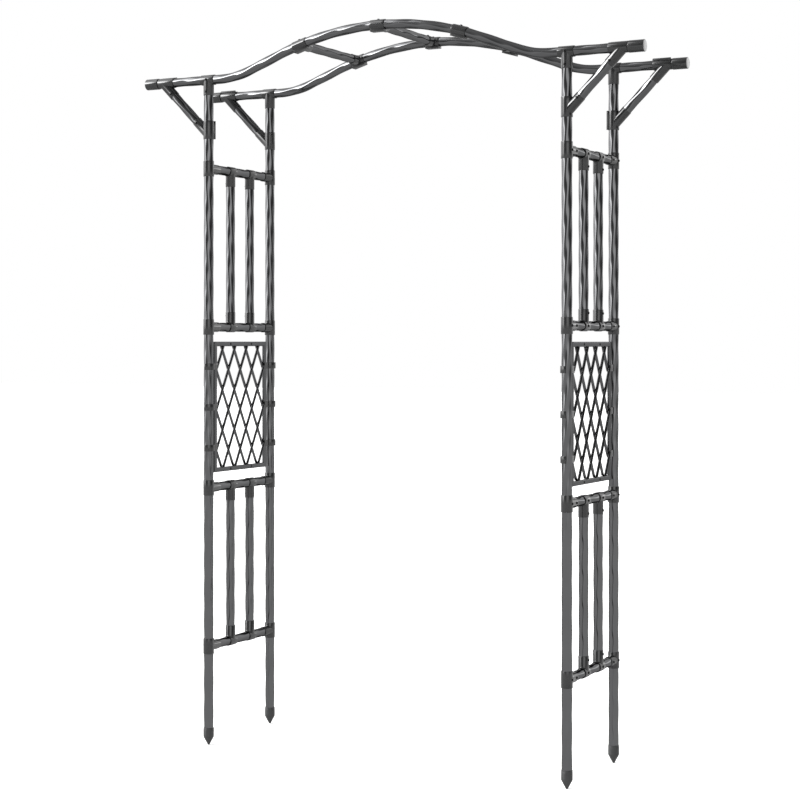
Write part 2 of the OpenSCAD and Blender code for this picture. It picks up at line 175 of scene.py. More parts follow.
# Lattice: bars of its frame, half the gap between its two layers of rods, number of sides of a rod,
# half its thickness across the sides, rounding of its corners, and count of diamonds
BAR_W = 0.016
BAR_T = 0.010
BAR_ROUND = 0.0030
BAR_EDGE = 0.0010
BAR_END_SCALE = 0.8
BAR_OVERLAP = 0.003
WELD_GAP = 0.0001
ROD_SIDES = 6
ROD_FLAT = (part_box("lattice_rods_right")[1].x - POST_X - WELD_GAP) / 2
ROD_EDGE = math.radians(8)
DIAMONDS_Y = 4
DIAMONDS_Z = 3

# Clips of the lattice: walls, half ring on the post and how far its lip passes the post's middle,
# and the room for the stile
CLIP_H = 0.022
CLIP_WALL = 0.0022
CLIP_GRIP = 0.004
CLIP_LIP = 0.004
CLIP_ROUND = 0.0010
CLIP_RIM = 0.0012
STILE_SPACE = 0.001
STILE_ROUND = 0.0002

# Rivets of the lattice frame
RIVET_Y = 0.066
RIVET_R = 0.0025
RIVET_HEAD_R = 0.004
RIVET_HEAD_H = 0.0018
RIVET_AROUND = 20

# Screws, with the upright side of the head and the arms of its cross
HEAD_R = 0.004
HEAD_H = 0.0026
HEAD_SIDE = 0.0009
SHANK_R = 0.002
SHANK_LEN = 0.008
SCREW_AROUND = 24
CROSS_REACH = 0.0022
CROSS_HALF_W = 0.00045
CROSS_DEPTH = 0.0012
CROSS_ABOVE = 0.001


# ---------- mesh helpers ----------

def new_mesh(points, faces):
    mesh = bpy.data.meshes.new("mesh")
    mesh.from_pydata([tuple(p) for p in points], [], faces)
    mesh.validate()
    mesh.update()
    return mesh


def fillet(points, radius, steps=3):
    """Rounds the inner corners of a profile of (along, radius) points with arcs."""
    rounded = [points[0]]
    for before, corner, after in zip(points, points[1:], points[2:]):
        a, b, c = Vector(before), Vector(corner), Vector(after)
        reach = min(radius, (a - b).length / 2, (c - b).length / 2)
        start = b + (a - b).normalized() * reach
        stop = b + (c - b).normalized() * reach
        for i in range(steps + 1):
            t = i / steps
            rounded.append(tuple(start * (1 - t) ** 2 + b * 2 * t * (1 - t) + stop * t ** 2))
    rounded.append(points[-1])
    return rounded


def straight(origin, along):
    """Frames along a straight axis: each is a point and two directions across the axis."""
    along = along.normalized()
    across = along.orthogonal().normalized() if abs(along.x) > 0.9 else X.cross(along).normalized()
    other = along.cross(across)
    return lambda s: (origin + along * s, across, other)


def sweep(profile, place, around=AROUND, ring=None, closed=False):
    """Skin round an axis.  The profile holds (distance along, radius); a radius of 0 is a pole.
    ring(s, r, angle) may change the radius.  A closed profile makes a tube wall."""
    points, faces, rings = [], [], []
    for s, r in profile:
        origin, u, v = place(s)
        if r < POLE_R:
            rings.append([len(points)])
            points.append(origin)
            continue
        rings.append(range(len(points), len(points) + around))
        for i in range(around):
            angle = math.tau * i / around
            radius = ring(s, r, angle) if ring else r
            points.append(origin + (u * math.cos(angle) + v * math.sin(angle)) * radius)
    pairs = list(zip(rings, rings[1:]))
    if closed:
        pairs.append((rings[-1], rings[0]))
    for low, high in pairs:
        for i in range(around):
            j = (i + 1) % around
            if len(low) == 1 and len(high) == 1:
                continue
            if len(low) == 1:
                faces.append((low[0], high[j], high[i]))
            elif len(high) == 1:
                faces.append((low[i], low[j], high[0]))
            else:
                faces.append((low[i], low[j], high[j], high[i]))
    return new_mesh(points, faces)


def rod(r, start, stop, place, rim=RIM, around=AROUND):
    """Solid round bar with rounded rims."""
    return sweep(fillet([(start, 0), (start, r), (stop, r), (stop, 0)], rim), place, around)


def prism(outline, start, stop, matrix):
    """Solid with a given outline of (x, y) points, between two heights of the matrix's Z."""
    n = len(outline)
    points = [matrix @ Vector((x, y, z)) for z in (start, stop) for x, y in outline]
    faces = [(i, (i + 1) % n, n + (i + 1) % n, n + i) for i in range(n)]
    faces += [tuple(reversed(range(n))), tuple(range(n, 2 * n))]
    return new_mesh(points, faces)


def soft_box(width, height, radius, steps=4):
    """Outline of a rectangle with round corners, centred on the origin."""
    outline = []
    for i, (sx, sy) in enumerate([(1, 1), (-1, 1), (-1, -1), (1, -1)]):
        for k in range(steps + 1):
            angle = math.radians(90 * (i + k / steps))
            outline.append((sx * (width / 2 - radius) + radius * math.cos(angle),
                            sy * (height / 2 - radius) + radius * math.sin(angle)))
    return outline


def block(size, centre, radius, matrix=Matrix.Identity(4)):
    """Box with all its edges rounded, as stacked outlines.  Towards its two ends the corners tighten
    half as fast as the outline shrinks, so they never close."""
    steps = 3
    points, faces = [], []
    levels = [(-1, k) for k in range(steps + 1)] + [(1, steps - k) for k in range(steps + 1)]
    for sign, k in levels:
        angle = math.radians(90 * k / steps)
        shrink = radius * (1 - math.sin(angle))
        z = sign * (size.z / 2 - radius * (1 - math.cos(angle)))
        corner_r = radius * 1.001 - shrink * 0.5
        outline = soft_box(size.x - 2 * shrink, size.y - 2 * shrink, corner_r)
        points += [matrix @ (centre + Vector((x, y, z))) for x, y in outline]
    n = len(points) // len(levels)
    for level in range(len(levels) - 1):
        for i in range(n):
            a, b = level * n + i, level * n + (i + 1) % n
            faces.append((a, b, b + n, a + n))
    faces.append(tuple(reversed(range(n))))
    faces.append(tuple(range(len(points) - n, len(points))))
    return new_mesh(points, faces)


def combine(base, tool, operation):
    """Boolean of two meshes."""
    first = bpy.data.objects.new("base", base)
    second = bpy.data.objects.new("tool", tool)
    for item in (first, second):
        bpy.context.scene.collection.objects.link(item)
    cut = first.modifiers.new("cut", "BOOLEAN")
    cut.operation = operation
    cut.solver = "EXACT"
    cut.object = second
    result = bpy.data.meshes.new_from_object(first.evaluated_get(bpy.context.evaluated_depsgraph_get()))
    for item in (first, second):
        bpy.data.objects.remove(item)
    return result


def moulded(solids, bores):
    """One moulded part: its solids joined, then its bores cut."""
    mesh = solids[0]
    for solid in solids[1:]:
        mesh = combine(mesh, solid, "UNION")
    for bore in bores:
        mesh = combine(mesh, bore, "DIFFERENCE")
    return mesh


def gather(parts):
    """Joins copies of meshes: each part is (mesh, matrix)."""
    points, faces = [], []
    for mesh, matrix in parts:
        first = len(points)
        flipped = matrix.determinant() < 0
        points += [matrix @ v.co for v in mesh.vertices]
        for polygon in mesh.polygons:
            corners = [first + i for i in polygon.vertices]
            faces.append(tuple(reversed(corners)) if flipped else tuple(corners))
    return new_mesh(points, faces)


def piece(node, mesh, slot, sharp=32):
    """Puts a mesh in the place of a CAD node."""
    mesh.polygons.foreach_set("use_smooth", [True] * len(mesh.polygons))
    mesh.set_sharp_from_angle(angle=math.radians(sharp))
    made = bpy.data.objects.new(f"{node}_fine", mesh)
    bpy.context.scene.collection.objects.link(made)
    made.data.materials.append(MATERIALS[slot])
    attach(made, "root")
    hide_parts(node)
    return made


def frame_at(origin, x_axis, y_axis, z_axis):
    """Matrix whose axes are the three directions."""
    matrix = Matrix((x_axis, y_axis, z_axis)).transposed().to_4x4()
    matrix.translation = origin
    return matrix


# ---------- materials ----------

# Holds back the brightening of the metal where it turns away from the eye
EDGE_TINT = 0.6
# Noise scales of the mottle and the scuffs, and what a scuff adds to the tone and the roughness
MOTTLE_SCALE = 9.0
SCUFF_SCALE = 55.0
SCUFF_TONE = 0.35
SCUFF_ROUGH = 0.25


class Graph:
    """Short forms for building a node tree."""

    def __init__(self, tree):
        self.tree = tree
        tree.nodes.clear()

    def add(self, kind, inputs=None, **settings):
        node = self.tree.nodes.new(kind)
        for name, value in settings.items():
            setattr(node, name, value)
        for key, value in (inputs or {}).items():
            if isinstance(value, bpy.types.NodeSocket):
                self.tree.links.new(value, node.inputs[key])
            else:
                node.inputs[key].default_value = value
        return node

    def math(self, operation, *values):
        return self.add("ShaderNodeMath", dict(enumerate(values)), operation=operation).outputs[0]

    def noise(self, place, scale, detail, roughness=0.5):
        inputs = {"Vector": place, "Scale": scale, "Detail": detail, "Roughness": roughness}
        return self.add("ShaderNodeTexNoise", inputs).outputs["Fac"]

    def blend(self, value, start, stop, low, high):
        """Goes smoothly from low to high as value goes from start to stop."""
        inputs = {"Value": value, "From Min": start, "From Max": stop, "To Min": low, "To Max": high}
        return self.add("ShaderNodeMapRange", inputs, interpolation_type="SMOOTHSTEP").outputs[0]

    def ramp(self, value, stops):
        """Grey ramp through (position, level) stops."""
        node = self.add("ShaderNodeValToRGB", {"Fac": value})
        elements = node.color_ramp.elements
        while len(elements) < len(stops):
            elements.new(0.5)
        for element, (position, level) in zip(elements, stops):
            element.position = position
            element.color = (level, level, level, 1)
        return node.outputs["Color"]


def finish_material(name, base, spread, metallic, roughness, rough_spread, grain, grain_height,
                    grain_size, wear, ior=1.5):
    """Coated or moulded surface: mottled colour and gloss, fine grain, and dull scuffs."""
    material = bpy.data.materials.new(name)
    material.use_nodes = True
    g = Graph(material.node_tree)
    place = g.add("ShaderNodeTexCoord").outputs["Object"]
    mottle = g.noise(place, MOTTLE_SCALE, 5.0)
    grit = g.noise(place, grain_size, 2.0)
    scuffs = g.noise(place, SCUFF_SCALE, 8.0, roughness=0.75)
    scuff = g.blend(scuffs, 0.60, 0.74, 0.0, wear)
    level = g.blend(mottle, 0.25, 0.75, 1 - spread, 1 + spread)
    tone = g.math("MULTIPLY_ADD", scuff, SCUFF_TONE, level)
    # 6 and 7 are the colour sockets of a Mix node
    colour = g.add("ShaderNodeMix", data_type="RGBA", blend_type="MULTIPLY")
    colour.inputs[0].default_value = 1.0
    colour.inputs[6].default_value = (*base, 1)
    g.tree.links.new(tone, colour.inputs[7])
    gloss = g.blend(mottle, 0.3, 0.7, roughness - rough_spread, roughness + rough_spread)
    rough = g.math("MULTIPLY_ADD", scuff, SCUFF_ROUGH, gloss)
    bump = g.add("ShaderNodeBump", {"Height": grit, "Strength": grain, "Distance": grain_height})
    tint = EDGE_TINT if metallic else 1.0
    shader = g.add("ShaderNodeBsdfPrincipled", {
        "Base Color": colour.outputs[2], "Metallic": metallic, "Roughness": rough, "IOR": ior,
        "Normal": bump.outputs["Normal"], "Specular Tint": (tint, tint, tint, 1),
    })
    g.add("ShaderNodeOutputMaterial", {"Surface": shader.outputs["BSDF"]})
    return material


MATERIALS = {
    "tube_metal": finish_material(
        "graphite_tube", base=(0.126, 0.127, 0.130), spread=0.05, metallic=1.0, roughness=0.085,
        rough_spread=0.02, grain=0.10, grain_height=0.00004, grain_size=900.0, wear=0.20),
    "lattice_metal": finish_material(
        "graphite_lattice", base=(0.105, 0.106, 0.109), spread=0.06, metallic=1.0, roughness=0.15,
        rough_spread=0.03, grain=0.15, grain_height=0.00004, grain_size=900.0, wear=0.3),
    "fitting_plastic": finish_material(
        "moulded_fitting", base=(0.010, 0.0102, 0.0105), spread=0.08, metallic=0.0, roughness=0.11,
        rough_spread=0.03, grain=0.1, grain_height=0.00006, grain_size=1500.0, wear=0.3, ior=1.58),
    "spike_plastic": finish_material(
        "moulded_spike", base=(0.022, 0.0225, 0.023), spread=0.10, metallic=0.0, roughness=0.42,
        rough_spread=0.06, grain=0.6, grain_height=0.00008, grain_size=1200.0, wear=0.9),
    "screw_metal": finish_material(
        "black_screw", base=(0.012, 0.012, 0.012), spread=0.05, metallic=0.6, roughness=0.38,
        rough_spread=0.05, grain=0.3, grain_height=0.00003, grain_size=1500.0, wear=0.3),
}


# ---------- tubes ----------

def tube(node, place, start, stop, r, side, turn=0.0, spigot=0.0, inner_steps=1):
    """Hollow tube with a spiral of shallow flutes pressed into its outside, turned on its axis.
    A spigot is a reduced end, beyond stop if it is positive and before start if negative."""
    bore = r - WALL
    plug = bore - GAP
    count = max(2, round((stop - start) / RING_STEP))
    skin = [(start + (stop - start) * i / count, r) for i in range(count + 1)]
    inside = [(stop + (start - stop) * i / inner_steps, bore) for i in range(inner_steps + 1)]
    if spigot:
        end = stop if spigot > 0 else start
        outer = [(end, plug), (end + spigot, plug), (end + spigot, plug - WALL)]
        inner = [(end - spigot, plug - WALL), (end - spigot, bore)]
        if spigot > 0:
            inside[0:1] = outer + inner
        else:
            inside[-1:] = list(reversed(outer + inner))

    def fluted(s, radius, angle):
        if radius < r:
            return radius
        wave = RELIEF_STARTS * angle - side * (math.tau * s / RELIEF_RISE - turn)
        return radius - RELIEF_DEPTH * (1 - math.cos(wave))

    piece(node, sweep(skin + inside, place, ring=fluted, closed=True), "tube_metal")


def crest_frame(side):
    """Frames along a beam, by the distance along its axis from the middle of the hump, and how much
    longer that distance is than x on the flat part."""
    crest_len = CREST_R * HUMP_SLOPE
    hollow_start = crest_len + SLOPE_LEN
    hollow_len = VALLEY_R * HUMP_SLOPE
    crest_centre = CREST_Z - CREST_R
    slope_x = CREST_R * math.sin(HUMP_SLOPE)
    slope_z = crest_centre + CREST_R * math.cos(HUMP_SLOPE)
    flat_x = slope_x + SLOPE_LEN * math.cos(HUMP_SLOPE) + VALLEY_R * math.sin(HUMP_SLOPE)

    def point(s):
        if s <= crest_len:
            angle = s / CREST_R
            return CREST_R * math.sin(angle), crest_centre + CREST_R * math.cos(angle), angle
        if s <= hollow_start:
            run = s - crest_len
            return (slope_x + run * math.cos(HUMP_SLOPE),
                    slope_z - run * math.sin(HUMP_SLOPE), HUMP_SLOPE)
        if s <= hollow_start + hollow_len:
            angle = HUMP_SLOPE - (s - hollow_start) / VALLEY_R
            return (flat_x - VALLEY_R * math.sin(angle),
                    BEAM_Z + VALLEY_R * (1 - math.cos(angle)), angle)
        return flat_x + s - hollow_start - hollow_len, BEAM_Z, 0.0

    def placed(end):
        def place(s):
            x, z, angle = point(s)
            along = Vector((side * math.cos(angle), 0, -math.sin(angle)))
            return Vector((side * x, end * POST_Y, z)), Y, along.cross(Y)
        return place
    flat_s = hollow_start + hollow_len - flat_x
    return placed, flat_s


def make_tubes():
    for side_name, side in SIDES.items():
        for name in RAIL_NAMES:
            low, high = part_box(f"rail_{name}_{side_name}")
            axis = Vector((side * POST_X, 0, (low.z + high.z) / 2))
            tube(f"rail_{name}_{side_name}", straight(axis, Y), low.y, high.y, TUBE_R, side)
        for end_name, end in ENDS.items():
            foot = Vector((side * POST_X, end * POST_Y, 0))
            for name in ("lower", "middle", "upper"):
                node = f"post_{name}_{end_name}_{side_name}"
                low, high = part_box(node)
                spigot = 0.0 if name == "upper" else SPLICE
                tube(node, straight(foot, Z), low.z, high.z - spigot, POST_R, side, POST_TURN,
                     spigot)
            for name in BAYS:
                node = f"upright_{name}_{end_name}_{side_name}"
                low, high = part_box(node)
                axis = Vector((side * POST_X, end * UPRIGHT_Y, 0))
                tube(node, straight(axis, Z), low.z, high.z, TUBE_R, side, UPRIGHT_TURN)
            make_brace(f"brace_{end_name}_{side_name}", side)
            placed, flat_s = crest_frame(side)
            stop = BEAM_END - CAP_WALL + flat_s
            spigot = -SPLICE if side < 0 else 0.0
            tube(f"beam_{end_name}_{side_name}", placed(end), -side * SEAM, stop, TUBE_R, side,
                 spigot=spigot, inner_steps=BEAM_STEPS)
    for name in RUNGS:
        node = f"rung_{name}"
        low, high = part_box(node)
        centre = middle(node)
        tube(node, straight(Vector((centre.x, 0, centre.z)), Y), low.y, high.y, TUBE_R, 1)


def make_brace(node, side):
    """Brace at 45 degrees; its half length follows from the height of its box."""
    low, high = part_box(node)
    along = Vector((side, 0, 1)).normalized()
    reach = (high.z - low.z) / math.sqrt(2) - TUBE_R
    tube(node, straight(middle(node), along), -reach, reach, TUBE_R, side)


# ---------- moulded connectors ----------

def branch(main_r, branch_r, reach):
    """Solid socket along +Y that grows out of a sleeve on the Z axis with a filleted foot."""
    foot_steps = 4
    rim_steps = 3
    points, faces = [ORIGIN], []
    rows = [("foot", k / foot_steps) for k in range(foot_steps + 1)]
    rows += [("rim", k / rim_steps) for k in range(rim_steps + 1)]
    for kind, t in rows:
        turn = math.radians(90 * t)
        for i in range(AROUND):
            angle = math.tau * i / AROUND
            c, s = math.cos(angle), math.sin(angle)
            grown = FOOT * abs(s)
            if kind == "foot":
                radius = branch_r + grown * (1 - math.sin(turn))
                side_x = min(abs(radius * c), main_r)
                out = math.sqrt(main_r ** 2 - side_x ** 2) - BITE + grown * (1 - math.cos(turn))
            else:
                radius = branch_r - RIM * (1 - math.cos(turn))
                out = reach - RIM * (1 - math.sin(turn))
            points.append(Vector((radius * c, out, -radius * s)))
    points.append(Vector((0, reach, 0)))
    last = len(points) - 1
    for i in range(AROUND):
        j = (i + 1) % AROUND
        faces.append((0, 1 + j, 1 + i))
        for row in range(len(rows) - 1):
            a, b = 1 + row * AROUND + i, 1 + row * AROUND + j
            faces.append((a, b, b + AROUND, a + AROUND))
        faces.append((last - AROUND + i, last - AROUND + j, last))
    return new_mesh(points, faces)


def screw_seat(origin, outward, r):
    """Flat round seat for a screw head on a round fitting."""
    return rod(SEAT_R, r - SEAT_DEPTH, r, straight(origin, outward), SEAT_RIM, SEAT_AROUND)


def tee(main_r, half, branch_r):
    """Tee with its sleeve on the Z axis, its socket along +Y and screw seats towards +X."""
    sleeve_r = main_r + GAP + SLEEVE_WALL
    socket_r = branch_r + GAP + SOCKET_WALL
    upright = straight(ORIGIN, Z)
    solids = [
        rod(sleeve_r, -half, half, upright),
        branch(sleeve_r, socket_r, SOCKET_REACH),
        screw_seat(ORIGIN, X, sleeve_r),
        screw_seat(Vector((0, SOCKET_SCREW, 0)), X, socket_r),
    ]
    bores = [
        rod(main_r + GAP, -2 * half, 2 * half, upright, 0),
        rod(branch_r + GAP, main_r + GAP + SOCKET_STOP, 2 * SOCKET_REACH, straight(ORIGIN, Y), 0),
    ]
    return moulded(solids, bores)


def brace_connector(main_r):
    """Sleeve on the Z axis, brace socket between +X and +Z, and a stiffening rib."""
    sleeve_r = main_r + GAP + SLEEVE_WALL
    slant = Vector((1, 0, 1)).normalized()
    rib_mid = (RIB_OUT + main_r) / 2
    rib_turn = Matrix.Rotation(math.pi - RIB_ANGLE, 4, "Z")
    rib_size = Vector((RIB_OUT - main_r, RIB_W, TAIL + NOSE - RIM))
    solids = [
        rod(sleeve_r, -TAIL, NOSE, straight(ORIGIN, Z)),
        rod(TUBE_SOCKET_R, 0, BRACE_REACH, straight(ORIGIN, slant)),
        block(rib_size, Vector((rib_mid, 0, (NOSE - TAIL) / 2)), RIB_ROUND, rib_turn),
        screw_seat(slant * BRACE_SCREW, -Y, TUBE_SOCKET_R),
    ]
    bores = [
        rod(TUBE_R + GAP, BRACE_END - BRACE_PLAY, 2 * BRACE_REACH, straight(ORIGIN, slant), 0),
        rod(main_r + GAP, -2 * TAIL, 2 * NOSE, straight(ORIGIN, Z), 0),
    ]
    return moulded(solids, bores)


def rung_tee():
    """Sleeve along X that follows the beam, socket along +Y and a flat pad below."""
    def bent(s):
        angle = s / CREST_R
        out = Vector((math.sin(angle), 0, math.cos(angle)))
        return out * CREST_R - Z * CREST_R, Y, Vector((math.cos(angle), 0, -math.sin(angle))).cross(Y)

    def follow(r, reach, rim):
        count = 6
        line = [(-reach, 0), (-reach, r)]
        line += [(-reach + 2 * reach * i / count, r) for i in range(1, count)]
        line += [(reach, r), (reach, 0)]
        return sweep(fillet(line, rim) if rim else line, bent)

    # The branch grows from a sleeve on Z; here the sleeve lies on X
    turned = branch(TUBE_SLEEVE_R, TUBE_SOCKET_R, SOCKET_REACH)
    turned.transform(Matrix.Rotation(math.pi / 2, 4, "Y"))
    pad_centre = Vector((0, 0, -PAD_DROP + PAD.z / 2))
    solids = [
        follow(TUBE_SLEEVE_R, SLEEVE_HALF, RIM),
        turned,
        block(PAD, pad_centre, PAD_ROUND),
        screw_seat(ORIGIN, Z, TUBE_SLEEVE_R),
        screw_seat(Vector((0, SOCKET_SCREW, 0)), Z, TUBE_SOCKET_R),
    ]
    bores = [
        follow(TUBE_R + GAP, 2 * SLEEVE_HALF, 0),
        rod(TUBE_R + GAP, TUBE_R + GAP + SOCKET_STOP, 2 * SOCKET_REACH, straight(ORIGIN, Y), 0),
    ]
    return moulded(solids, bores)


def make_tees():
    post_tee = tee(POST_R, SLEEVE_HALF, TUBE_R)
    upright_tee = tee(TUBE_R, UPRIGHT_SLEEVE_HALF, TUBE_R)
    beam_tee = tee(TUBE_R, SLEEVE_HALF, POST_R)
    for side_name, side in SIDES.items():
        posts, uprights = [], []
        for end in ENDS.values():
            for z in RAIL_Z:
                place = frame_at(Vector((side * POST_X, end * POST_Y, z)), X * side, -Y * end, Z)
                posts.append((post_tee, place))
            for low, high in BAYS.values():
                for z, up in ((low, 1), (high, -1)):
                    origin = Vector((side * POST_X, end * UPRIGHT_Y, z))
                    uprights.append((upright_tee, frame_at(origin, X * side, Z * up, Y)))
        piece(f"post_tees_{side_name}", gather(posts), "fitting_plastic")
        piece(f"upright_tees_{side_name}", gather(uprights), "fitting_plastic")
    beams = [(beam_tee, frame_at(Vector((side * POST_X, end * POST_Y, BEAM_Z)), Y * end, -Z, X))
             for side, end in CORNERS]
    piece("beam_tees", gather(beams), "fitting_plastic")


def make_brace_connectors():
    on_post = brace_connector(POST_R)
    on_beam = brace_connector(TUBE_R)
    parts = []
    for side, end in CORNERS:
        low = Vector((side * POST_X, end * POST_Y, BEAM_Z - BRACE_RUN))
        high = Vector((side * (POST_X + BRACE_RUN), end * POST_Y, BEAM_Z))
        parts.append((on_post, frame_at(low, X * side, -Y * end, Z)))
        parts.append((on_beam, frame_at(high, -Z, -Y * end, -X * side)))
    piece("brace_connectors", gather(parts), "fitting_plastic")


def make_rung_tees():
    model = rung_tee()
    parts = []
    for name in RUNGS:
        centre = middle(f"rung_{name}")
        angle = math.asin(centre.x / CREST_R)
        along = Vector((math.cos(angle), 0, -math.sin(angle)))
        up = Vector((math.sin(angle), 0, math.cos(angle)))
        for end in ENDS.values():
            origin = Vector((centre.x, end * POST_Y, centre.z))
            parts.append((model, frame_at(origin, along, -Y * end, up)))
    piece("rung_tees", gather(parts), "fitting_plastic")


def make_caps():
    low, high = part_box("beam_caps")
    cap_r = (high.z - low.z) / 2
    bore = TUBE_R + GAP
    outside = fillet([(0, 0), (0, cap_r), (CAP_LEN, cap_r), (CAP_LEN, bore)], CAP_ROUND, 4)
    inside = [(CAP_WALL, bore), (CAP_WALL, 0)]
    parts = []
    for side, end in CORNERS:
        place = straight(Vector((side * BEAM_END, end * POST_Y, BEAM_Z)), -X * side)
        parts.append((sweep(outside + inside, place, FINE_AROUND), Matrix.Identity(4)))
    piece("beam_caps", gather(parts), "fitting_plastic")


def make_spikes():
    for side_name in SIDES:
        for end_name in ENDS:
            node = f"ground_spike_{end_name}_{side_name}"
            low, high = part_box(node)
            r = (high.x - low.x) / 2
            top = high.z
            bore = POST_R + GAP
            outside = [
                (0, 0), (0, TIP_R), (TAPER_TOP, r - TAPER_EDGE_R), (TAPER_TOP + TAPER_EDGE_H, r),
                (top - LIP_FOOT, r), (top - LIP_LEN, r - LIP_STEP), (top, r - LIP_STEP), (top, bore),
            ]
            inside = [(CUP_FLOOR, bore), (CUP_FLOOR, 0)]
            origin = middle(node)
            origin.z = 0
            profile = fillet(outside, SPIKE_ROUND, 4) + inside
            piece(node, sweep(profile, straight(origin, Z), FINE_AROUND), "spike_plastic", sharp=40)


# ---------- lattice ----------

def make_lattice():
    low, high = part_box("lattice_frame_right")
    pane_w = high.y - low.y - 2 * BAR_W
    pane_h = high.z - low.z - 2 * BAR_W
    node_dy = pane_w / DIAMONDS_Y / 2
    node_dz = pane_h / DIAMONDS_Z / 2
    bar = soft_box(BAR_T, BAR_W, BAR_ROUND)
    for side_name, side in SIDES.items():
        centre = Vector((side * POST_X, 0, LATTICE_Z))
        bars = []
        for end in ENDS.values():
            stile = frame_at(centre + Y * end * (pane_w + BAR_W) / 2, X, Y, Z)
            reach = pane_h / 2 + BAR_W
            bars.append((capped_bar(bar, reach), stile))
            level = frame_at(centre + Z * end * (pane_h + BAR_W) / 2, X, -Z, Y)
            bars.append((capped_bar(bar, pane_w / 2 + BAR_OVERLAP), level))
        piece(f"lattice_frame_{side_name}", gather(bars), "lattice_metal")
        rods = lattice_rods(centre, pane_w, pane_h, node_dy, node_dz)
        piece(f"lattice_rods_{side_name}", rods, "lattice_metal", sharp=20)
    make_clips(node_dz)
    make_rivets(pane_h)


def capped_bar(outline, reach):
    """Bar along Z whose end faces have softened edges."""
    points, faces = [], []
    levels = [(-reach, BAR_END_SCALE), (-reach + BAR_EDGE, 1.0), (reach - BAR_EDGE, 1.0),
              (reach, BAR_END_SCALE)]
    for z, scale in levels:
        points += [Vector((x * scale, y * scale, z)) for x, y in outline]
    n = len(outline)
    for level in range(len(levels) - 1):
        for i in range(n):
            a, b = level * n + i, level * n + (i + 1) % n
            faces.append((a, b, b + n, a + n))
    faces.append(tuple(reversed(range(n))))
    faces.append(tuple(range(len(points) - n, len(points))))
    return new_mesh(points, faces)


def lattice_rods(centre, pane_w, pane_h, node_dy, node_dz):
    """Six-sided rods in two layers that lean opposite ways, all ending on the inside of the frame.
    Each corner of the section is rounded by three points, ROD_EDGE apart from first to last."""
    turns = [math.tau * corner / ROD_SIDES + ROD_EDGE * offset
             for corner in range(ROD_SIDES) for offset in (-0.5, 0.0, 0.5)]
    corner_r = ROD_FLAT / math.cos(math.pi / ROD_SIDES - ROD_EDGE / 2)
    n = len(turns)
    last = DIAMONDS_Y + DIAMONDS_Z - 1
    points, faces = [], []
    for lean in (1, -1):
        along = Vector((0, node_dy, lean * node_dz)).normalized()
        across = along.cross(X)
        for i in range(-last, last + 1, 2):
            first = len(points)
            for end in (-1, 1):
                for turn in turns:
                    foot = (X * math.sin(turn) - across * math.cos(turn)) * corner_r
                    foot += X * lean * (ROD_FLAT + WELD_GAP) + Y * i * node_dy
                    reach = min(end * (end * pane_w / 2 - foot.y) / along.y,
                                end * (end * lean * pane_h / 2 - foot.z) / along.z)
                    points.append(centre + foot + along * end * reach)
            faces += [(first + k, first + (k + 1) % n, first + n + (k + 1) % n, first + n + k)
                      for k in range(n)]
            faces.append(tuple(first + n - 1 - k for k in range(n)))
            faces.append(tuple(first + n + k for k in range(n)))
    return new_mesh(points, faces)


def make_clips(node_dz):
    """Clips that grip the walkway side of a post and hold the stile of the lattice frame."""
    stile_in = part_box("lattice_frame_right")[0].y + BAR_W
    reach = stile_in + POST_Y
    jaw = BAR_T / 2 + CLIP_WALL
    slot = BAR_T / 2 + GAP
    slot_w = BAR_W + STILE_SPACE + GAP
    grip_r = POST_R + GAP + CLIP_GRIP
    upright = straight(ORIGIN, Z)
    half = prism(soft_box(2 * grip_r, 3 * grip_r, CLIP_ROUND, 1), -CLIP_H, CLIP_H,
                 Matrix.Translation((CLIP_LIP - grip_r, 0, 0)))
    ring = combine(rod(grip_r, -CLIP_H / 2, CLIP_H / 2, upright, CLIP_RIM), half, "INTERSECT")
    arm = block(Vector((2 * jaw, reach, CLIP_H)), Vector((0, reach / 2, 0)), CLIP_ROUND)
    bores = [
        rod(POST_R + GAP, -CLIP_H, CLIP_H, upright, 0),
        prism(soft_box(2 * slot, slot_w, STILE_ROUND, 1), -CLIP_H, CLIP_H,
              Matrix.Translation((0, reach - BAR_W - GAP + slot_w / 2, 0))),
    ]
    clip = moulded([ring, arm], bores)
    rows = [(2 * i + 1 - DIAMONDS_Z) * node_dz for i in range(DIAMONDS_Z)]
    for side_name, side in SIDES.items():
        parts = [(clip, frame_at(Vector((side * POST_X, end * POST_Y, LATTICE_Z + row)),
                                 X * side, -Y * end, Z))
                 for end in ENDS.values() for row in rows]
        piece(f"lattice_clips_{side_name}", gather(parts), "fitting_plastic")


def make_rivets(pane_h):
    """Rivets along X, with a domed head on each side of a frame bar."""
    out = BAR_T / 2
    # Share of the head's radius and of its height
    dome = [(0, 1), (0.6, 0.85), (0.92, 0.4), (1, 0)]
    profile = [(-out - RIVET_HEAD_H * rise, RIVET_HEAD_R * share) for share, rise in dome]
    profile.append((-out, RIVET_R))
    profile += [(-s, radius) for s, radius in reversed(profile)]
    parts = []
    for side in SIDES.values():
        for y in (-RIVET_Y, RIVET_Y):
            for z in (-1, 1):
                origin = Vector((side * POST_X, y, LATTICE_Z + z * (pane_h + BAR_W) / 2))
                parts.append((sweep(profile, straight(origin, X), RIVET_AROUND), Matrix.Identity(4)))
    piece("lattice_rivets", gather(parts), "screw_metal", sharp=50)


# ---------- screws ----------

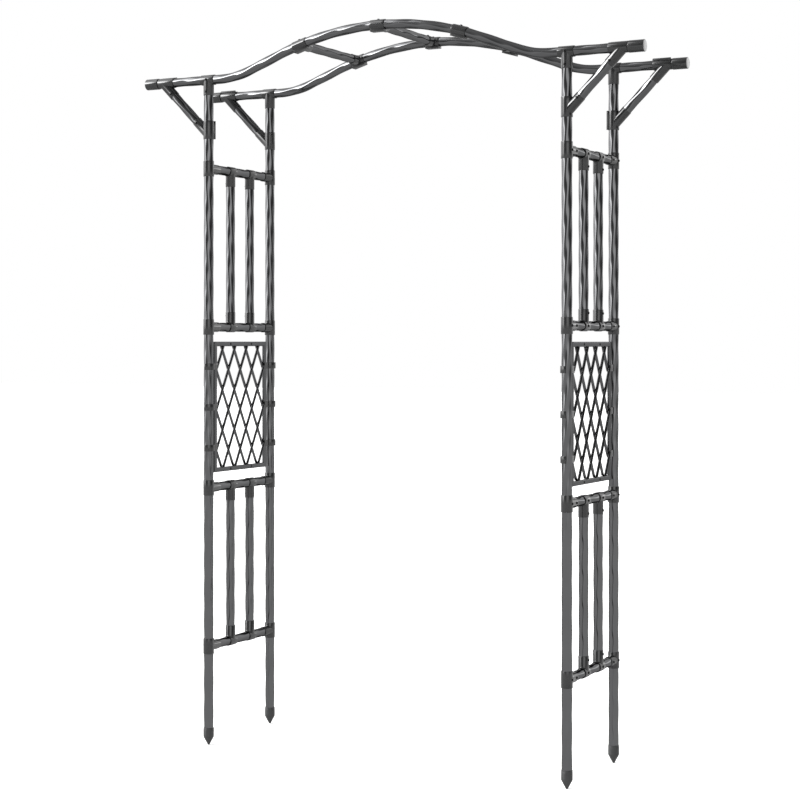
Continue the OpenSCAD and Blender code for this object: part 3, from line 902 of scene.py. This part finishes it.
def screw():
    """Pan-head screw along +Z, its head's underside at the origin, with a cross recess."""
    steps = 6
    profile = [(-SHANK_LEN, 0), (-SHANK_LEN, SHANK_R), (0, SHANK_R), (0, HEAD_R), (HEAD_SIDE, HEAD_R)]
    for k in range(1, steps):
        angle = math.radians(90 * k / steps)
        height = HEAD_SIDE + (HEAD_H - HEAD_SIDE) * math.sin(angle)
        profile.append((height, HEAD_R * math.cos(angle) ** 0.75))
    profile.append((HEAD_H, 0))
    body = sweep(profile, straight(ORIGIN, Z), SCREW_AROUND)
    outline = [(-CROSS_REACH, -CROSS_HALF_W), (CROSS_REACH, -CROSS_HALF_W),
               (CROSS_REACH, CROSS_HALF_W), (-CROSS_REACH, CROSS_HALF_W)]
    for turn in (0, 90):
        arm = prism(outline, HEAD_H - CROSS_DEPTH, HEAD_H + CROSS_ABOVE,
                    Matrix.Rotation(math.radians(turn), 4, "Z"))
        body = combine(body, arm, "DIFFERENCE")
    return body


def turned_to(origin, outward, r):
    """Matrix that sets a screw on a surface at a distance r from an axis, pointing outward."""
    across = outward.orthogonal().normalized()
    return frame_at(origin + outward * r, across, outward.cross(across), outward)


def make_screws():
    model = screw()
    panel, arch = [], []
    for side, end in CORNERS:
        out = X * side
        for z in RAIL_Z:
            panel.append((Vector((side * POST_X, end * POST_Y, z)), out, POST_SLEEVE_R))
            panel.append((Vector((side * POST_X, end * (POST_Y - SOCKET_SCREW), z)), out, TUBE_SOCKET_R))
            panel.append((Vector((side * POST_X, end * UPRIGHT_Y, z)), out, TUBE_SLEEVE_R))
        for low, high in BAYS.values():
            for z in (low + SOCKET_SCREW, high - SOCKET_SCREW):
                panel.append((Vector((side * POST_X, end * UPRIGHT_Y, z)), out, TUBE_SOCKET_R))
        for z in (BEAM_Z, BEAM_Z - SOCKET_SCREW):
            arch.append((Vector((side * POST_X, end * POST_Y, z)), Y * end, POST_SOCKET_R))
        axis_len = BRACE_RUN * math.sqrt(2)
        slant = Vector((side, 0, 1)).normalized()
        foot = Vector((side * POST_X, end * POST_Y, BEAM_Z - BRACE_RUN))
        for run in (BRACE_SCREW, axis_len - BRACE_SCREW):
            arch.append((foot + slant * run, Y * end, TUBE_SOCKET_R))
    for name in RUNGS:
        centre = middle(f"rung_{name}")
        up = (centre - Vector((0, 0, CREST_Z - CREST_R))).normalized()
        for end in ENDS.values():
            for y, r in ((POST_Y, TUBE_SLEEVE_R), (POST_Y - SOCKET_SCREW, TUBE_SOCKET_R)):
                arch.append((Vector((centre.x, end * y, centre.z)), up, r))
    for node, places in (("panel_screws", panel), ("arch_screws", arch)):
        screws = gather([(model, turned_to(*place)) for place in places])
        piece(node, screws, "screw_metal", sharp=40)


# ---------- studio ----------

def make_floor():
    """Pale floor with a faint mottle, which the gloss of the object does not show."""
    size = 40.0
    mesh = new_mesh([(-size, -size, 0), (size, -size, 0), (size, size, 0), (-size, size, 0)],
                    [(0, 1, 2, 3)])
    floor = bpy.data.objects.new("floor", mesh)
    bpy.context.scene.collection.objects.link(floor)
    material = bpy.data.materials.new("pale_floor")
    material.use_nodes = True
    g = Graph(material.node_tree)
    place = g.add("ShaderNodeTexCoord").outputs["Object"]
    mottle = g.noise(place, 1.5, 4.0)
    tone = g.blend(mottle, 0.2, 0.8, 0.93, 0.95)
    shader = g.add("ShaderNodeBsdfDiffuse", {"Color": tone})
    g.add("ShaderNodeOutputMaterial", {"Surface": shader.outputs["BSDF"]})
    mesh.materials.append(material)
    floor.visible_glossy = False


# Brightness of the studio by compass direction in degrees (0 is +X, 90 is +Y), in five bands
# of height; the gloss of the object shows it, the camera and plain surfaces see even white
BRIGHTEST = 24.0
AMBIENT = 1.0
TOP = 0.6
UPPER = [(-180, 0.9), (-174, 1.6), (-167, 20.0), (-129, 20.0), (-123, 0.9), (-112, 0.4),
         (-100, 0.15), (30, 0.12), (48, 1.3), (88, 1.3), (98, 0.3), (150, 0.3), (165, 0.4), (180, 0.9)]
OVERHEAD = [(-180, 1.8), (-160, 3.0), (-150, 4.6), (-138, 4.6), (-127, 0.9), (-105, 0.4),
            (-80, 0.05), (20, 0.1), (110, 0.5), (140, 1.2), (180, 1.8)]
HORIZON = [
    (-180, 2.7), (-160, 2.9), (-148, 2.9), (-142, 6.5), (-135, 6.5), (-127, 1.2), (-116, 0.5),
    (-104, 0.25), (-84, 0.18), (-77, 0.6), (-68, 1.9), (-42, 1.9), (-32, 1.2), (-22, 0.30),
    (0, 0.10), (22, 0.12), (32, 0.7), (50, 1.1), (94, 1.1), (106, 0.4), (125, 0.6), (145, 2.0),
    (180, 2.7),
]
LOWER = [(-180, 1.0), (20, 1.0), (90, 1.0), (104, 0.3), (130, 0.4), (160, 0.9), (180, 1.0)]
DEEP = [(-180, 0.6), (-150, 0.8), (-30, 0.8), (10, 0.7), (40, 0.8), (96, 0.8), (120, 0.3),
        (160, 0.5), (180, 0.6)]
# The bands above the deepest, each with the heights in degrees where it fades in and is full
BANDS = [(LOWER, -26, -12), (HORIZON, -4, 3), (UPPER, 14, 19), (OVERHEAD, 30, 36)]
TOP_FADE = (58, 62)
# Bright panel at one side: it fades in between the first two edges and out between the last two
PANEL_TURN = (62, 66, 76, 80)
PANEL_HEIGHT = (4, 6, 12, 14)
PANEL_LEVEL = 3.0


def make_world():
    """Soft studio: white behind the object, and panels of light and shade that its gloss shows.
    The levels are shares of BRIGHTEST until the end."""
    world = bpy.data.worlds.new("studio")
    bpy.context.scene.world = world
    world.use_nodes = True
    g = Graph(world.node_tree)
    direction = g.add("ShaderNodeTexCoord").outputs["Generated"]
    axes = g.add("ShaderNodeSeparateXYZ", {0: direction}).outputs
    turn = g.math("MULTIPLY", g.math("ARCTAN2", axes["Y"], axes["X"]), 180 / math.pi)
    height = g.math("MULTIPLY", g.math("ARCSINE", axes["Z"]), 180 / math.pi)
    place = g.math("MULTIPLY_ADD", turn, 1 / 360, 0.5)

    def band(stops):
        return g.ramp(place, [((angle + 180) / 360, level / BRIGHTEST) for angle, level in stops])

    def window(value, edges):
        return g.math("MULTIPLY", g.blend(value, edges[0], edges[1], 0.0, 1.0),
                      g.blend(value, edges[2], edges[3], 1.0, 0.0))

    level = band(DEEP)
    for stops, start, full in BANDS:
        level = g.blend(height, start, full, level, band(stops))
    level = g.blend(height, *TOP_FADE, level, TOP / BRIGHTEST)
    side = g.math("MULTIPLY", window(turn, PANEL_TURN), window(height, PANEL_HEIGHT))
    level = g.blend(side, 0, 1, level, PANEL_LEVEL / BRIGHTEST)
    panels = g.math("MULTIPLY", level, BRIGHTEST)
    glossy = g.add("ShaderNodeLightPath").outputs["Is Glossy Ray"]
    seen = g.math("MULTIPLY_ADD", g.math("SUBTRACT", panels, AMBIENT), glossy, AMBIENT)
    light = g.add("ShaderNodeBackground", {"Color": (1, 1, 1, 1), "Strength": seen})
    g.add("ShaderNodeOutputWorld", {"Surface": light.outputs["Background"]})


def make_lamp():
    """Large soft lamp at the left; it shades the plain surfaces and does not show in the gloss."""
    lamp = bpy.data.lights.new("soft_lamp", "SUN")
    lamp.energy = 6.0
    lamp.angle = math.radians(60)
    holder = bpy.data.objects.new("soft_lamp", lamp)
    holder.rotation_euler = (math.radians(58), 0, math.radians(-65))
    holder.visible_glossy = False
    bpy.context.scene.collection.objects.link(holder)


def make_camera():
    """Level camera, in front and to the right of the arch; its shift sets the framing."""
    camera = bpy.data.cameras.new("camera")
    camera.lens = 82.3
    camera.sensor_width = 36.0
    camera.shift_y = -0.0741
    holder = bpy.data.objects.new("camera", camera)
    holder.location = (2.820, -5.364, 1.3676)
    holder.rotation_euler = (math.radians(90), 0, math.radians(27.94))
    bpy.context.scene.collection.objects.link(holder)
    bpy.context.scene.camera = holder


make_camera()
make_world()
make_lamp()
make_floor()
make_tubes()
make_tees()
make_brace_connectors()
make_rung_tees()
make_caps()
make_spikes()
make_lattice()
make_screws()
bpy.context.scene.view_settings.view_transform = "Standard"
